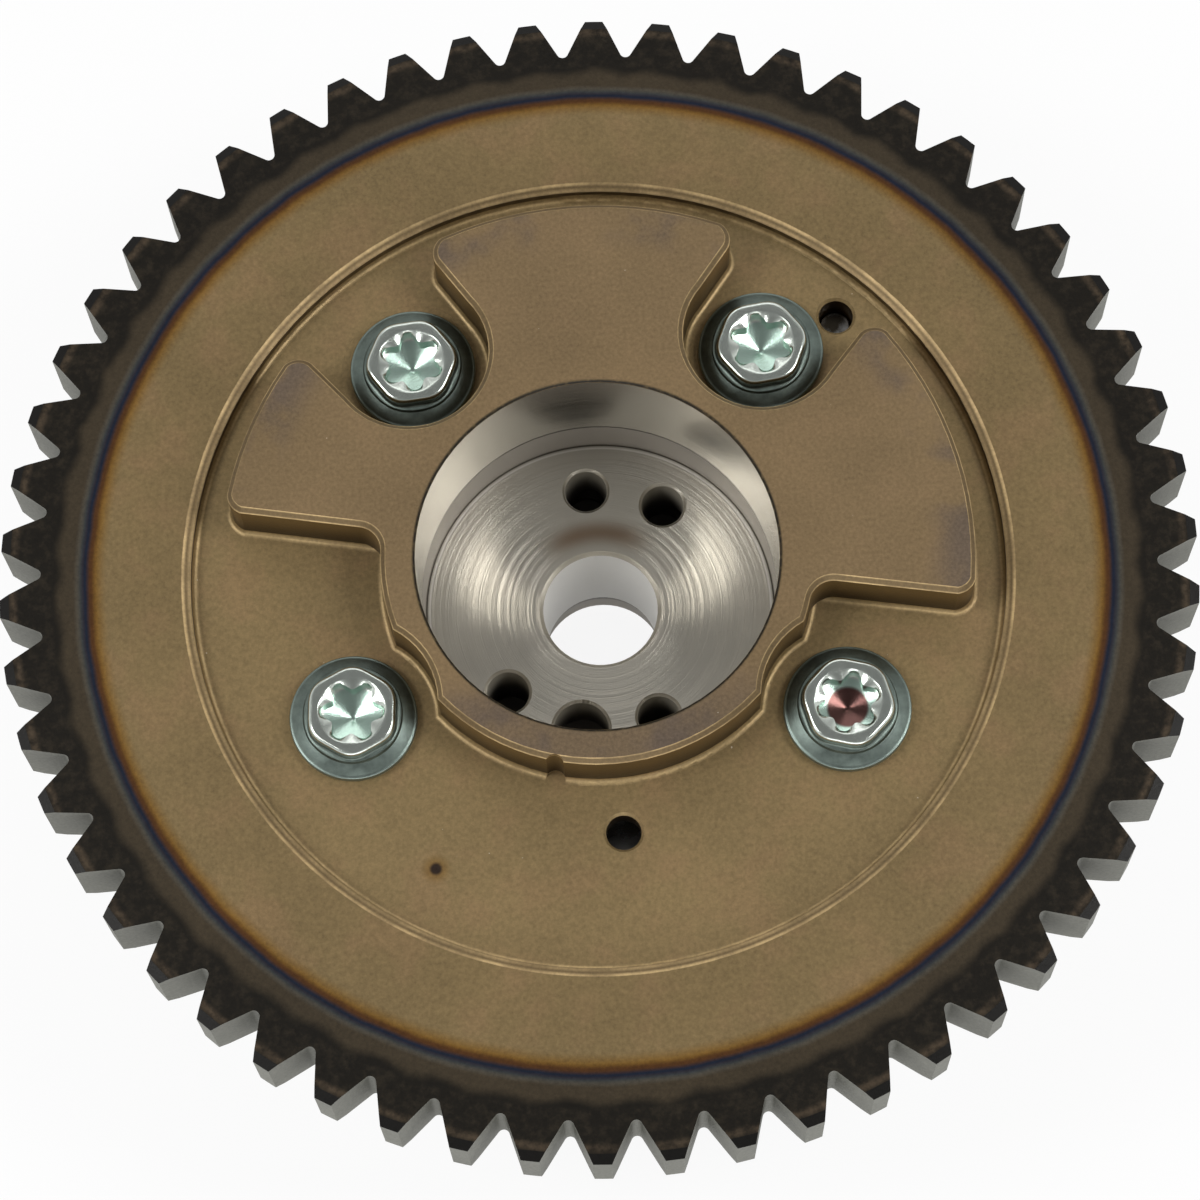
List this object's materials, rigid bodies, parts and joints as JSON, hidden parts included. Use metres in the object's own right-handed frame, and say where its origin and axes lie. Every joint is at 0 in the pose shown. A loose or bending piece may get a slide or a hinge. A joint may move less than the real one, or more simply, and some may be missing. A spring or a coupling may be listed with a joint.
{
  "type": "cam phaser",
  "caption": "Hydraulic vane-type cam phaser with a silent-chain sprocket, a lobed sensor wheel, a bore for the camshaft nose, and a vane rotor that turns in a sealed housing.",
  "frame": {"origin": "on the turning axis, at the face of the front cover that the part lies on", "axes": "+Z along the turning axis towards the camshaft side; +X through the tip of a tooth"},
  "size_m": [0.1096, 0.1094, 0.0347],
  "materials": {
    "sintered_brown": "steam-treated sintered steel, olive brown, with a heat-tinted dark rim",
    "sintered_grey": "plain sintered steel, satin",
    "turned_steel": "bright turned steel",
    "turned_cover": "faced steel with fine concentric turning lines",
    "ground_steel": "ground hardened steel",
    "spring_steel": "bright spring steel",
    "seal_polymer": "dark filled seal polymer",
    "zinc_screw": "zinc-plated head over a dark flange"
  },
  "bodies": {
    "housing": {"sprocket": "sintered_brown", "stator_housing": "sintered_grey", "front_cover": "turned_cover", "screw_1": "zinc_screw", "screw_2": "zinc_screw", "screw_3": "zinc_screw", "screw_4": "zinc_screw", "dowel_pin": "ground_steel", "lock_bush": "ground_steel", "web_seal_1": "seal_polymer", "web_seal_2": "seal_polymer", "web_seal_3": "seal_polymer", "web_seal_4": "seal_polymer", "web_spring_1": "spring_steel", "web_spring_2": "spring_steel", "web_spring_3": "spring_steel", "web_spring_4": "spring_steel"},
    "rotor": {"rotor": "turned_steel", "vane_seal_1": "seal_polymer", "vane_seal_2": "seal_polymer", "vane_seal_3": "seal_polymer", "vane_seal_4": "seal_polymer", "vane_spring_1": "spring_steel", "vane_spring_2": "spring_steel", "vane_spring_3": "spring_steel", "vane_spring_4": "spring_steel", "lock_plug": "ground_steel", "lock_spring": "spring_steel"},
    "lock_pin": {"lock_pin": "ground_steel"}
  },
  "joints": [
    {"name": "rotor_turn", "type": "hinge", "parent": "housing", "child": "rotor", "pos_m": [0, 0, 0.01375], "axis": [0, 0, 1], "range_deg": [-25, 0]},
    {"name": "lock_pin_slide", "type": "slide", "parent": "rotor", "child": "lock_pin", "axis": [0, 0, 1], "range_m": [0, 0.0009], "deforming": ["lock_spring"]}
  ]
}
